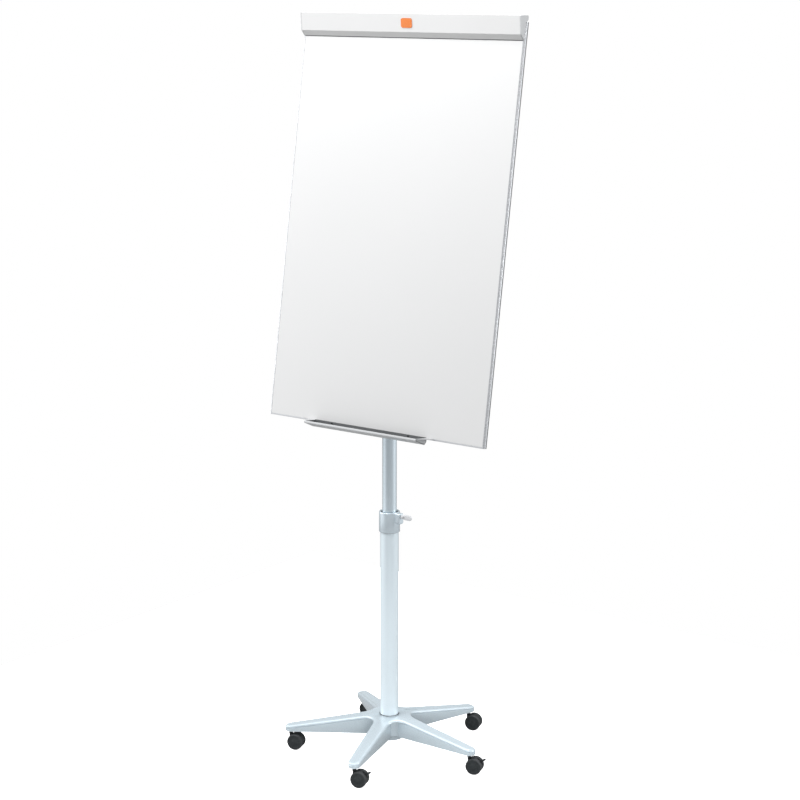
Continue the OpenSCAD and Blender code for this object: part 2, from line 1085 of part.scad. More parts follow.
at_castor(2) castor_housing(false);  // castor_3_housing
at_castor(2) castor_axle();  // castor_3_axle
at_castor(2) castor_wheel(1);  // castor_3_wheel_left
at_castor(2) castor_wheel(-1);  // castor_3_wheel_right
at_castor(3) castor_housing(false);  // castor_4_housing
at_castor(3) castor_axle();  // castor_4_axle
at_castor(3) castor_wheel(1);  // castor_4_wheel_left
at_castor(3) castor_wheel(-1);  // castor_4_wheel_right
at_castor(4) castor_housing(true);  // castor_5_housing
at_castor(4) castor_axle();  // castor_5_axle
at_castor(4) castor_wheel(1);  // castor_5_wheel_left
at_castor(4) castor_wheel(-1);  // castor_5_wheel_right
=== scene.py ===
"""Looks of the flipchart easel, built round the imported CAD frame. Helper lengths are in millimetres."""

import json
import math

import bmesh
import bpy
from mathutils import Matrix, Vector


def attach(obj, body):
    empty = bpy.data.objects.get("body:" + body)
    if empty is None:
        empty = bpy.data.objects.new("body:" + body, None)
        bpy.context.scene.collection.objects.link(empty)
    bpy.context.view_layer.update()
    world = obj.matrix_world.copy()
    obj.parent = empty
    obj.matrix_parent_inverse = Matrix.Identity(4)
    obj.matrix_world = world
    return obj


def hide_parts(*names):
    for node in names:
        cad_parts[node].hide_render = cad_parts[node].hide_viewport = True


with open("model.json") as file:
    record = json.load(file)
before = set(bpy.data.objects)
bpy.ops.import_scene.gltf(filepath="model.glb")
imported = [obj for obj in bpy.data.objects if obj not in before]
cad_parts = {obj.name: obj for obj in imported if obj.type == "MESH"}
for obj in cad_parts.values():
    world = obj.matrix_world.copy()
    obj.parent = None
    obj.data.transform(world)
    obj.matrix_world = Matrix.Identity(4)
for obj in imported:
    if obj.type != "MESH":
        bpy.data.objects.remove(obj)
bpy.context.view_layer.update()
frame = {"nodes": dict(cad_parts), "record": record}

MM = 0.001
LEAN = math.radians(9.1)
BOARD_FRONT = 70.6
BOARD_LOW = 872.5
BOARD_H = 1026.3

STEM_RADIUS = 258.8
STAR_TURN = math.radians(-1.4)
ARM_STEP = math.radians(72)
CASTOR_YAW = math.radians(16.4)
TRAIL = 14.7
WHEEL_R = 21.0
BRAKED = (0, 4)

ARM_TIP = 15.5
ARM_ROOT = 22.4
SCREW_Z = 639
PIVOT_Z = 1050


# ---------------------------------------------------------------- camera, floor and light


def make_camera():
    azimuth, pitch, roll = (math.radians(a) for a in (36.126, 12.023, 0.108))
    right = Vector((math.cos(azimuth), math.sin(azimuth), 0))
    back = Vector((math.sin(azimuth), -math.cos(azimuth), 0))
    forward = -back * math.cos(pitch) - Vector((0, 0, 1)) * math.sin(pitch)
    up = right.cross(forward)
    rolled_right = right * math.cos(roll) + up * math.sin(roll)
    rolled_up = up * math.cos(roll) - right * math.sin(roll)
    turn = Matrix((rolled_right, rolled_up, -forward)).transposed().to_4x4()
    data = bpy.data.cameras.new("camera")
    data.sensor_width = 36
    data.lens = 88.68
    data.clip_end = 1000
    camera = bpy.data.objects.new("camera", data)
    camera.matrix_world = Matrix.Translation((2.9053, -3.9355, 1.9814)) @ turn
    bpy.context.scene.collection.objects.link(camera)
    bpy.context.scene.camera = camera


def area_light(name, place, target, size, power, mirrored=True, spread=180):
    data = bpy.data.lights.new(name, "AREA")
    data.shape = "RECTANGLE"
    data.size, data.size_y = size
    data.energy = power
    data.spread = math.radians(spread)
    light = bpy.data.objects.new(name, data)
    light.location = place
    aim = Vector(target) - Vector(place)
    light.rotation_euler = aim.to_track_quat("-Z", "Y").to_euler()
    light.visible_camera = False
    light.visible_glossy = mirrored
    bpy.context.scene.collection.objects.link(light)


def make_world():
    """A pale room, dimmer behind the camera, behind the easel and below the horizon, before white."""
    world = bpy.data.worlds.new("studio")
    world.use_nodes = True
    nodes, links = world.node_tree.nodes, world.node_tree.links
    sky = nodes["Background"]
    sky.inputs["Strength"].default_value = 1.0
    place = nodes.new("ShaderNodeTexCoord")
    facing = nodes.new("ShaderNodeVectorMath")
    facing.operation = "DOT_PRODUCT"
    facing.inputs[1].default_value = (0.59, -0.80, 0.10)
    spread = nodes.new("ShaderNodeMapRange")
    spread.inputs["From Min"].default_value = -1.0
    spread.inputs["From Max"].default_value = 1.0
    shade = nodes.new("ShaderNodeValToRGB")
    shade.color_ramp.interpolation = "EASE"
    zones = ((0.0, 0.36), (0.20, 0.50), (0.40, 1.0), (0.60, 0.96), (0.82, 0.52), (1.0, 0.46))
    while len(shade.color_ramp.elements) < len(zones):
        shade.color_ramp.elements.new(0.5)
    for element, (at, level) in zip(shade.color_ramp.elements, zones):
        element.position = at
        element.color = (level * 0.99, level, level * 1.01, 1)
    height = nodes.new("ShaderNodeSeparateXYZ")
    ground = nodes.new("ShaderNodeMapRange")
    ground.interpolation_type = "SMOOTHSTEP"
    ground.inputs["From Min"].default_value = -0.60
    ground.inputs["From Max"].default_value = -0.26
    ground.inputs["To Min"].default_value = 0.20
    dim = nodes.new("ShaderNodeVectorMath")
    dim.operation = "SCALE"
    ray = nodes.new("ShaderNodeLightPath")
    backdrop = nodes.new("ShaderNodeMix")
    backdrop.data_type = "RGBA"
    backdrop.inputs["B"].default_value = (1, 1, 1, 1)
    links.new(place.outputs["Generated"], facing.inputs[0])
    links.new(facing.outputs["Value"], spread.inputs["Value"])
    links.new(spread.outputs["Result"], shade.inputs["Fac"])
    links.new(place.outputs["Generated"], height.inputs["Vector"])
    links.new(height.outputs["Z"], ground.inputs["Value"])
    links.new(shade.outputs["Color"], dim.inputs["Vector"])
    links.new(ground.outputs["Result"], dim.inputs["Scale"])
    links.new(ray.outputs["Is Camera Ray"], backdrop.inputs["Factor"])
    links.new(dim.outputs["Vector"], backdrop.inputs["A"])
    links.new(backdrop.outputs["Result"], sky.inputs["Color"])
    bpy.context.scene.world = world


def make_floor():
    """White paper floor that throws little light back up."""
    half = 1.3
    corners = [(-half, -half, 0), (half, -half, 0), (half, half, 0), (-half, half, 0)]
    floor = mesh_object("floor", corners, [(0, 1, 2, 3)], 1.0)
    finish = new_material("floor_pale")
    nodes, links = finish.node_tree.nodes, finish.node_tree.links
    shader = nodes["shader"].inputs
    shader["Roughness"].default_value = 0.95
    shader["Specular IOR Level"].default_value = 0.1
    ray = nodes.new("ShaderNodeLightPath")
    tint = nodes.new("ShaderNodeMix")
    tint.data_type = "RGBA"
    tint.inputs["A"].default_value = (0.33, 0.33, 0.33, 1)
    tint.inputs["B"].default_value = (0.86, 0.86, 0.86, 1)
    shader["Emission Color"].default_value = (1, 1, 1, 1)
    links.new(ray.outputs["Is Camera Ray"], tint.inputs["Factor"])
    links.new(tint.outputs["Result"], shader["Base Color"])
    links.new(ray.outputs["Is Camera Ray"], shader["Emission Strength"])
    floor.data.materials.append(finish)


def make_studio():
    make_world()
    make_floor()
    bpy.context.scene.view_settings.view_transform = "Standard"
    data = bpy.data.lights.new("sun", "SUN")
    data.energy = 0.45
    data.angle = math.radians(24)
    sun = bpy.data.objects.new("sun", data)
    sun.rotation_euler = Vector((0.34, 0.42, -0.84)).to_track_quat("-Z", "Y").to_euler()
    bpy.context.scene.collection.objects.link(sun)
    area_light("strip", (-2.6, -1.2, 1.9), (0, 0, 0.9), (0.5, 2.6), 42)
    area_light("side", (2.5, 1.2, 1.9), (0, 0, 1.0), (0.5, 2.6), 30)
    area_light("front", (0.15, -1.05, 2.8), (0.02, 0, 1.5), (1.2, 0.3), 19)
    area_light("low", (0.8, -1.15, 0.30), (0, 0, 0.05), (1.2, 0.3), 1.7, mirrored=False, spread=60)
    area_light("top", (-0.4, 1.4, 3.6), (0, 0, 0), (0.7, 0.35), 42)


# ---------------------------------------------------------------- mesh helpers


def mesh_object(name, points, faces, scale=MM):
    mesh = bpy.data.meshes.new(name)
    mesh.from_pydata([tuple(Vector(p) * scale) for p in points], [], faces)
    mesh.validate()
    made = bpy.data.objects.new(name, mesh)
    bpy.context.scene.collection.objects.link(made)
    return made


def smooth(made, angle=35):
    """Smooth shading that keeps edges sharper than the angle."""
    mesh = made.data
    bm = bmesh.new()
    bm.from_mesh(mesh)
    bmesh.ops.recalc_face_normals(bm, faces=bm.faces)
    limit = math.radians(angle)
    for face in bm.faces:
        face.smooth = True
    for edge in bm.edges:
        if len(edge.link_faces) == 2:
            edge.smooth = edge.calc_face_angle(0) < limit
    bm.to_mesh(mesh)
    bm.free()


class Shape:
    """Collects points and faces, so that one piece can be made of several closed shells."""

    def __init__(self):
        self.points = []
        self.faces = []
        self.marks = []
        self.mark = 0

    def add(self, points, faces):
        start = len(self.points)
        self.points += [Vector(p) for p in points]
        self.faces += [tuple(start + i for i in f) for f in faces]
        self.marks += [self.mark] * len(faces)

    def rings(self, rings, closed=False, caps=True):
        """Joins rings of equal length into a skin; closed joins the last ring to the first."""
        count = len(rings[0])
        points = [p for ring in rings for p in ring]
        faces = []
        last = len(rings) if closed else len(rings) - 1
        for r in range(last):
            a, b = r * count, ((r + 1) % len(rings)) * count
            for k in range(count):
                n = (k + 1) % count
                faces.append((a + k, a + n, b + n, b + k))
        if caps and not closed:
            faces.append(tuple(range(count))[::-1])
            faces.append(tuple(range((len(rings) - 1) * count, len(rings) * count)))
        self.add(points, faces)

    def lathe(self, profile, place, closed=False, steps=64):
        """Turns a profile of (radius, height) about the local Z of place."""
        rings = []
        for r, z in profile:
            ring = []
            for k in range(steps):
                a = 2 * math.pi * k / steps
                ring.append(place @ Vector((r * math.cos(a), r * math.sin(a), z)))
            rings.append(ring)
        self.rings(rings, closed=closed, caps=not closed)

    def prism(self, outline, low, high, place, round_r=0.0, steps=3):
        """An extruded outline with rounded rims, along the local Z of place."""
        rims = [(0.0, 0.0)]
        if round_r > 0:
            rims = []
            for k in range(steps + 1):
                a = math.pi / 2 * k / steps
                rims.append((round_r * (1 - math.sin(a)), round_r * (1 - math.cos(a))))
        rings = []
        for inset, rise in rims:
            ring = inset_outline(outline, inset)
            rings.append([place @ Vector((x, y, low + rise)) for x, y in ring])
        for inset, rise in reversed(rims):
            ring = inset_outline(outline, inset)
            rings.append([place @ Vector((x, y, high - rise)) for x, y in ring])
        self.rings(rings)

    def make(self, name, sharp=35):
        made = mesh_object(name, self.points, self.faces)
        for face, mark in zip(made.data.polygons, self.marks):
            face.material_index = mark
        smooth(made, sharp)
        return made


def inset_outline(outline, inset):
    """Moves each point of a counter-clockwise outline inwards along its corner's bisector."""
    if inset == 0:
        return list(outline)
    moved = []
    count = len(outline)
    for i, (x, y) in enumerate(outline):
        ax, ay = outline[i - 1]
        bx, by = outline[(i + 1) % count]
        first = Vector((x - ax, y - ay)).normalized()
        second = Vector((bx - x, by - y)).normalized()
        n1 = Vector((-first.y, first.x))
        n2 = Vector((-second.y, second.x))
        middle = n1 + n2
        middle = middle / max(0.3, middle.dot(n1))
        moved.append((x + middle.x * inset, y + middle.y * inset))
    return moved


def arc(cx, cy, r, start, stop, steps):
    """Points on an arc, angles in degrees."""
    points = []
    for k in range(steps + 1):
        a = math.radians(start + (stop - start) * k / steps)
        points.append((cx + r * math.cos(a), cy + r * math.sin(a)))
    return points


def castor_place(i):
    """Local frame of castor i: origin under its stem, +X along its trail."""
    turn = STAR_TURN + i * ARM_STEP
    place = Vector((STEM_RADIUS * math.cos(turn), STEM_RADIUS * math.sin(turn), 0))
    return Matrix.Translation(place) @ Matrix.Rotation(CASTOR_YAW, 4, "Z")


def board_place():
    """Local frame of the board: X across, Y back from the front plane, Z up the board."""
    return Matrix.Translation((0, -BOARD_FRONT, BOARD_LOW)) @ Matrix.Rotation(-LEAN, 4, "X")


ALONG_X = Matrix.Rotation(math.pi / 2, 4, "Y")
ALONG_Y = Matrix.Rotation(-math.pi / 2, 4, "X")


# ---------------------------------------------------------------- materials


def new_material(name):
    made = bpy.data.materials.new(name)
    made.use_nodes = True
    shader = made.node_tree.nodes["Principled BSDF"]
    shader.name = "shader"
    return made


def add_noise(material, scale, detail, stretch=(1, 1, 1), roughness=0.5):
    nodes, links = material.node_tree.nodes, material.node_tree.links
    place = nodes.new("ShaderNodeTexCoord")
    mapping = nodes.new("ShaderNodeMapping")
    mapping.inputs["Scale"].default_value = stretch
    noise = nodes.new("ShaderNodeTexNoise")
    noise.inputs["Scale"].default_value = scale
    noise.inputs["Detail"].default_value = detail
    noise.inputs["Roughness"].default_value = roughness
    links.new(place.outputs["Object"], mapping.inputs["Vector"])
    links.new(mapping.outputs["Vector"], noise.inputs["Vector"])
    return noise.outputs["Fac"]


def add_ramp(material, source, stops):
    nodes, links = material.node_tree.nodes, material.node_tree.links
    ramp = nodes.new("ShaderNodeValToRGB")
    while len(ramp.color_ramp.elements) < len(stops):
        ramp.color_ramp.elements.new(0.5)
    for element, (at, colour) in zip(ramp.color_ramp.elements, stops):
        element.position = at
        element.color = (*colour, 1)
    links.new(source, ramp.inputs["Fac"])
    return ramp.outputs["Color"]


def add_range(material, source, low, high):
    nodes, links = material.node_tree.nodes, material.node_tree.links
    spread = nodes.new("ShaderNodeMapRange")
    spread.inputs["From Min"].default_value = 0.3
    spread.inputs["From Max"].default_value = 0.7
    spread.inputs["To Min"].default_value = low
    spread.inputs["To Max"].default_value = high
    links.new(source, spread.inputs["Value"])
    return spread.outputs["Result"]


def add_bump(material, source, strength, distance):
    nodes, links = material.node_tree.nodes, material.node_tree.links
    bump = nodes.new("ShaderNodeBump")
    bump.inputs["Strength"].default_value = strength
    bump.inputs["Distance"].default_value = distance
    links.new(source, bump.inputs["Height"])
    links.new(bump.outputs["Normal"], nodes["shader"].inputs["Normal"])


def surface(name, colour, metallic=0.0, rough=(0.35, 0.45), vary=0.04, coarse=14.0, grain=1500.0,
            bump=0.15, depth=0.0001, stretch=(1, 1, 1), coat=0.0, coat_rough=0.1, specular=0.5):
    """A finish with slow colour and gloss variation and a fine grain."""
    made = new_material(name)
    links = made.node_tree.links
    shader = made.node_tree.nodes["shader"].inputs
    shader["Metallic"].default_value = metallic
    shader["Specular IOR Level"].default_value = specular
    shader["Coat Weight"].default_value = coat
    shader["Coat Roughness"].default_value = coat_rough
    slow = add_noise(made, coarse, 4)
    low = tuple(c * (1 - vary) for c in colour)
    high = tuple(min(1, c * (1 + vary)) for c in colour)
    links.new(add_ramp(made, slow, [(0.3, low), (0.7, high)]), shader["Base Color"])
    fine = add_noise(made, grain, 3, stretch)
    links.new(add_range(made, fine, *rough), shader["Roughness"])
    add_bump(made, fine, bump, depth)
    return made


def galvanised(name):
    """Zinc-coated sheet with soft crystal spangles."""
    made = new_material(name)
    nodes, links = made.node_tree.nodes, made.node_tree.links
    shader = nodes["shader"].inputs
    shader["Metallic"].default_value = 0.9
    place = nodes.new("ShaderNodeTexCoord")
    cells = nodes.new("ShaderNodeTexVoronoi")
    cells.inputs["Scale"].default_value = 90
    links.new(place.outputs["Object"], cells.inputs["Vector"])
    grey = nodes.new("ShaderNodeRGBToBW")
    links.new(cells.outputs["Color"], grey.inputs["Color"])
    tint = add_ramp(made, grey.outputs["Val"], [(0.1, (0.50, 0.52, 0.54)), (0.9, (0.62, 0.64, 0.66))])
    links.new(tint, shader["Base Color"])
    links.new(add_range(made, grey.outputs["Val"], 0.42, 0.55), shader["Roughness"])
    return made


FINISHES = {
    "paint": dict(
        colour=(0.69, 0.78, 0.83), metallic=0.2, rough=(0.27, 0.33), vary=0.02, coarse=6, grain=1400,
        bump=0.06, coat=0.35, coat_rough=0.12),
    "mast_paint": dict(
        colour=(0.68, 0.77, 0.83), metallic=0.60, rough=(0.20, 0.26), vary=0.02, coarse=6, grain=1400,
        bump=0.05, coat=0.3),
    "base_paint": dict(
        colour=(0.505, 0.585, 0.635), metallic=0.15, rough=(0.26, 0.31), vary=0.02, coarse=6, grain=1200,
        bump=0.02, coat=0.8, coat_rough=0.09),
    "charcoal": dict(
        colour=(0.012, 0.014, 0.016), rough=(0.42, 0.55), vary=0.08, coarse=30, grain=2600, bump=0.25),
    "wheel": dict(
        colour=(0.016, 0.020, 0.022), rough=(0.45, 0.6), vary=0.08, coarse=40, grain=2200, bump=0.2),
    "tread": dict(
        colour=(0.032, 0.035, 0.038), rough=(0.6, 0.75), vary=0.12, coarse=50, grain=1800, bump=0.35),
    "zinc": dict(
        colour=(0.76, 0.77, 0.79), metallic=0.30, rough=(0.28, 0.36), vary=0.02, coarse=40, bump=0.05,
        depth=0.00005),
    "steel": dict(
        colour=(0.63, 0.64, 0.66), metallic=1, rough=(0.22, 0.34), coarse=40, bump=0.1, depth=0.00005),
    # Near-black steel: painted shade for the screw heads inside the shaded pen tray.
    "dark_steel": dict(
        colour=(0.05, 0.052, 0.056), metallic=0.8, vary=0.06, coarse=40, bump=0.1, depth=0.00005),
    "silver_x": dict(
        colour=(0.62, 0.63, 0.65), metallic=0.55, rough=(0.30, 0.42), vary=0.02, coarse=5, grain=1.0,
        bump=0.10, depth=0.00004, stretch=(5, 1800, 1800)),
    "silver_z": dict(
        colour=(0.56, 0.57, 0.59), metallic=0.85, rough=(0.24, 0.32), vary=0.02, coarse=5, grain=1.0,
        bump=0.10, depth=0.00004, stretch=(1800, 1800, 5)),
    # Painted shade for the dark line along the rails' rear edge.
    "rail_rear_painted_shade": dict(
        colour=(0.055, 0.058, 0.06), rough=(0.50, 0.60), vary=0.03, coarse=20, bump=0.05, depth=0.00005,
        specular=0.3),
    "tray_grey": dict(
        colour=(0.57, 0.58, 0.59), metallic=0.1, rough=(0.36, 0.44), vary=0.01, coarse=8, bump=0.06,
        coat=0.2, coat_rough=0.2),
    # Painted shade for the inside of the pen tray.
    "tray_painted_shade": dict(colour=(0.115, 0.12, 0.125), rough=(0.6, 0.75), vary=0.06, coarse=30, bump=0.3),
    "enamel": dict(
        colour=(0.71, 0.71, 0.71), rough=(0.30, 0.38), vary=0.006, coarse=3, grain=900, bump=0.02,
        depth=0.00005, coat=0.35, coat_rough=0.2),
    "clamp_white": dict(colour=(0.65, 0.65, 0.65), rough=(0.38, 0.46), vary=0.01, coarse=8, bump=0.08),
    "cap_grey": dict(
        colour=(0.53, 0.54, 0.55), rough=(0.45, 0.55), vary=0.03, coarse=20, grain=2400, bump=0.2),
    "fibre_board": dict(
        colour=(0.36, 0.25, 0.15), rough=(0.75, 0.9), vary=0.25, coarse=260, grain=1400, bump=0.5,
        depth=0.0003),
    "grip": dict(colour=(0.045, 0.045, 0.047), rough=(0.65, 0.8), vary=0.1, coarse=40, bump=0.3),
    "badge_orange": dict(
        colour=(0.70, 0.19, 0.035), rough=(0.22, 0.30), vary=0.02, coarse=20, bump=0.04, depth=0.00005,
        coat=0.4, coat_rough=0.08),
}

MATERIALS = {name: surface(name, **values) for name, values in FINISHES.items()}
MATERIALS["back_steel"] = galvanised("back_steel")
SLOT_OF = {s["node"]: s["material_slot"] for s in frame["record"]["subparts"]}
UPRIGHT = ("frame_left", "frame_right", "spine")


def finish_of(node):
    slot = SLOT_OF[node]
    if slot == "silver":
        return MATERIALS["silver_z" if node in UPRIGHT else "silver_x"]
    if node == "upper_tube":
        return MATERIALS["mast_paint"]
    return MATERIALS[slot]


def dress(made, *materials):
    made.data.materials.clear()
    for m in materials:
        made.data.materials.append(m)


def place_piece(made, body, slot, replaced=(), materials=()):
    for m in materials or [MATERIALS[slot]]:
        made.data.materials.append(m)
    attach(made, body)
    if replaced:
        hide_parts(*replaced)
    return made


def soften(node, width, segments=2):
    """Small rounded edges on a CAD node, by modifiers only."""
    made = frame["nodes"][node]
    weld = made.modifiers.new("weld", "WELD")
    weld.merge_threshold = 0.00001
    flat = made.modifiers.new("flat", "DECIMATE")
    flat.decimate_type = "DISSOLVE"
    flat.angle_limit = math.radians(0.6)
    edge = made.modifiers.new("edge", "BEVEL")
    edge.width = width * MM
    edge.segments = segments
    edge.limit_method = "ANGLE"
    edge.angle_limit = math.radians(32)
    edge.use_clamp_overlap = True
    normal = made.modifiers.new("normal", "WEIGHTED_NORMAL")
    normal.keep_sharp = False
    normal.weight = 100


# ---------------------------------------------------------------- star base


def star_roof(x, y):
    """Height of the star's top skin at a point, in the star's own turn."""
    hub_top, tip_top = 99.2, 63.5
    flat_r, tip_r = 46, 274.3
    reach = max(x * math.cos(i * ARM_STEP) + y * math.sin(i * ARM_STEP) for i in range(5))
    slope = (hub_top - tip_top) / (tip_r - flat_r)
    soft, fade = 6.0, 30
    over = reach - flat_r
    over = 0.5 * (over + math.sqrt(over * over + soft * soft)) - 0.5 * soft * math.exp(-abs(over) / fade)
    return hub_top - slope * max(0.0, over)


def spin(x, y, angle):
    """A flat point turned about the origin."""
    return x * math.cos(angle) - y * math.sin(angle), x * math.sin(angle) + y * math.cos(angle)


def star_outline(web):
    """Points round the star with their outward directions; web is the corner radius between arms."""
    taper = math.atan((ARM_ROOT - ARM_TIP) / STEM_RADIUS)
    half = ARM_STEP / 2
    web_centre = (web + ARM_ROOT * math.cos(taper)) / math.sin(half + taper)
    span = math.pi / 2 - taper
    reach = math.radians(54) - taper
    tip_steps, web_steps, side_steps = 24, 20, 12
    tips = []
    for k in range(tip_steps + 1):
        t = -span + 2 * span * k / tip_steps
        tips.append((STEM_RADIUS + ARM_TIP * math.cos(t), ARM_TIP * math.sin(t), math.cos(t), math.sin(t)))
    webs = []
    for k in range(web_steps + 1):
        w = math.pi + reach - 2 * reach * k / web_steps
        x, y = web_centre + web * math.cos(w), web * math.sin(w)
        webs.append(spin(x, y, half) + spin(-math.cos(w), -math.sin(w), half))
    out, back = [], []
    next_tip = spin(*tips[0][:2], ARM_STEP)
    for k in range(1, side_steps):
        f = k / side_steps
        out.append(tuple(a * (1 - f) + b * f for a, b in zip(tips[-1], webs[0])))
        a = webs[-1]
        back.append((a[0] * (1 - f) + next_tip[0] * f, a[1] * (1 - f) + next_tip[1] * f, a[2], a[3]))
    points = []
    for i in range(5):
        for x, y, nx, ny in tips + out + webs + back:
            points.append(spin(x, y, i * ARM_STEP) + spin(nx, ny, i * ARM_STEP))
    return points


def make_star():
    brim, skirt = star_outline(32.0), star_outline(8.0)
    place = Matrix.Rotation(STAR_TURN, 4, "Z")
    low, wall, draft = 49.5, 4.2, 1.2

    def ring(inset, height, outline=skirt):
        """height is a function of the roof's height over the ring's point."""
        made = []
        for x, y, nx, ny in outline:
            px, py = x - nx * inset, y - ny * inset
            made.append(place @ Vector((px, py, height(star_roof(px, py)))))
        return made

    rings = [
        ring(wall + draft + 6, lambda top: top - 4),
        ring(wall + draft + 1.2, lambda top: top - 4.4),
        ring(wall + draft, lambda top: top - 6),
        ring(wall, lambda top: low + 1),
        ring(wall - 0.7, lambda top: low),
        ring(1.0, lambda top: low),
        ring(0.3, lambda top: low + 0.3),
        ring(0.0, lambda top: low + 1.1),
    ]
    corner = 5.2
    rings.append(ring(0.0, lambda top: top - corner - 2.4))
    rings.append(ring(1.6, lambda top: top - corner - 1.4, brim))
    for k in range(9):
        a = math.pi / 2 * k / 8
        inset = corner * (1 - math.cos(a))
        drop = corner * (1 - math.sin(a))
        rings.append(ring(inset, lambda top, drop=drop: top - drop, brim))
    rings.append(ring(corner + 1.6, lambda top: top, brim))
    rings.append(ring(corner + 5.2, lambda top: top, brim))
    shape = Shape()
    shape.rings(rings)
    hub = [
        (20, 46), (20, 38.2), (20.8, 37), (37.4, 37), (38.8, 37.4), (39.4, 38.6), (39.6, 45), (41, 48),
        (46, 50.5), (49.6, 52.5), (50.4, 55), (50.6, 88), (52, 91.5), (52, 94.5), (5.4, 94.5), (5.4, 46)
    ]
    shape.lathe(hub, place, closed=True, steps=96)
    boss = [(3.5, 60), (3.5, 47.4), (3.9, 47), (8.2, 47), (8.8, 47.3), (9, 48), (9.4, 54), (11, 58), (11, 60)]
    for i in range(5):
        turn = Matrix.Rotation(STAR_TURN + i * ARM_STEP, 4, "Z")
        shape.lathe(boss, turn @ Matrix.Translation((STEM_RADIUS, 0, 0)), closed=True, steps=40)
        for side in (-1, 1):
            root, tip = side * 7, side * 3.6
            rib = [(36, root - 1.2), (200, tip - 1.0), (200, tip + 1.0), (36, root + 1.2)]
            top = [turn @ Vector((x, y, star_roof(x, y) - 3.9)) for x, y in rib]
            bottom = [turn @ Vector((x, y, 56 if x == 36 else 58)) for x, y in rib]
            shape.rings([bottom, top])
        for reach in (90, 150, 210):
            half = ARM_TIP + (ARM_ROOT - ARM_TIP) * (1 - reach / STEM_RADIUS) - wall - 0.5
            cross = [(reach - 1, -half), (reach + 1, -half), (reach + 1, half), (reach - 1, half)]
            top = [turn @ Vector((x, y, star_roof(x, y) - 3.9)) for x, y in cross]
            bottom = [turn @ Vector((x, y, 59)) for x, y in cross]
            shape.rings([bottom, top])
    made = shape.make("star_casting", 40)
    place_piece(made, "base", "base_paint", ["star_base"])


# ---------------------------------------------------------------- castors


def hood_outline(radius):
    """Side view of the hood about the axle: a disc cut flat under the axle."""
    start = math.degrees(math.asin(-12.0 / radius))
    return arc(0, 0, radius, start, 180 - start, 56)


def make_housing(i):
    name = f"castor_{i + 1}"
    place = castor_place(i)
    axle = place @ Matrix.Translation((TRAIL, 0, WHEEL_R)) @ Matrix.Rotation(math.pi / 2, 4, "X")
    shape = Shape()
    braked = i in BRAKED
    if braked:
        cut = []
        for x, y in hood_outline(20.5):
            if x <= 5.4 or y <= 2.6:
                cut.append((x, y))
            elif not cut:
                cut += [(20.3, 2.8), (5.4, 2.8), (5.4, 19.77)]
        shape.prism(cut, -3.3, 3.3, axle, 0.0)
        for side in (-1, 1):
            shape.prism(hood_outline(20.5), side * 4.15 - 0.85, side * 4.15 + 0.85, axle, 0.35)
    else:
        shape.prism(hood_outline(20.5), -5, 5, axle, 1.0)
        for side in (-1, 1):
            rim = hood_outline(20.95) + hood_outline(19.0)[::-1]
            shape.prism(rim, side * 3.6 - 0.7, side * 3.6 + 0.7, axle, 0.0)
    for k in range(7):
        a = math.radians(38 + 15 * k)
        if braked and a < math.radians(76):
            continue
        turn = axle @ Matrix.Rotation(a, 4, "Z")
        rib = [(19.6, -0.55), (20.75, -0.4), (20.75, 0.4), (19.6, 0.55)]
        shape.prism(rib, -3.4, 3.4, turn, 0.15)
    neck = [
        (3.56, 43.6), (3.56, 17), (4.8, 15), (4.9, 24), (4.8, 38), (5.0, 40.4), (5.6, 41.2), (5.6, 43.2),
        (5.2, 44), (3.9, 44)
    ]
    shape.lathe(neck, place, closed=True, steps=48)
    web = [(0, -4.4), (9, -4.6), (9, 4.6), (0, 4.4)]
    rings = []
    for z, grow in ((15, 0.0), (30, 0.0), (34.5, -0.3), (36, -1.2)):
        back = max(0, (z - 32) * 1.3)
        rings.append([
            place @ Vector((x - (back if x > 1 else 0), y * (1 + grow * 0.1), z)) for x, y in web
        ])
    shape.rings(rings)
    made = shape.make(f"{name}_hood", 38)
    place_piece(made, name, "charcoal", [f"{name}_housing"])


def make_wheel(i, side):
    name = f"castor_{i + 1}"
    word = "left" if side > 0 else "right"
    place = castor_place(i) @ Matrix.Translation((TRAIL, 0, WHEEL_R))
    place = place @ (ALONG_Y if side > 0 else ALONG_Y.inverted())
    tread = [
        (18.6, 5.5), (19.9, 5.3), (20.6, 5.5), (21, 6.2), (21, 8.2), (20.75, 8.4), (20.75, 8.8), (21, 9.0),
        (21, 11.2), (20.75, 11.4), (20.75, 11.8), (21, 12.0), (21, 13.4), (20.85, 14.1), (20.4, 14.7),
        (19.7, 15.0), (18.9, 15.0), (18.3, 14.8), (18.2, 14.2), (18.2, 6.0)
    ]
    disc = [
        (2.56, 13.2), (2.56, 5.5), (6.5, 5.5), (6.8, 5.9), (7.0, 8.6), (17.2, 8.9), (17.8, 5.7), (18.6, 5.7),
        (18.6, 13.9), (17.9, 14.0), (17.4, 14.35), (16.6, 14.5), (15.2, 14.35), (14.6, 13.8), (8.4, 13.9),
        (7.8, 14.3), (6.8, 14.75), (4.2, 14.9), (0.01, 14.95), (0.01, 13.2)
    ]
    shape = Shape()
    shape.mark = 1
    shape.lathe(tread, place, closed=True, steps=80)
    shape.mark = 0
    shape.lathe(disc, place, closed=True, steps=80)
    for k in range(9):
        turn = place @ Matrix.Rotation(2 * math.pi * k / 9, 4, "Z")
        rib = [(8.0, -0.9), (14.9, -1.3), (14.9, 1.3), (8.0, 0.9)]
        shape.prism(rib, 13.3, 14.2, turn, 0.25)
        inner = [(6.4, -0.6), (17.8, -0.6), (17.8, 0.6), (6.4, 0.6)]
        shape.prism(inner, 5.9, 9.2, turn, 0.0)
    made = shape.make(f"{name}_{word}_disc", 38)
    place_piece(
        made, f"wheel_{i + 1}_{word}", "wheel", [f"{name}_wheel_{word}"],
        [MATERIALS["wheel"], MATERIALS["tread"]]
    )


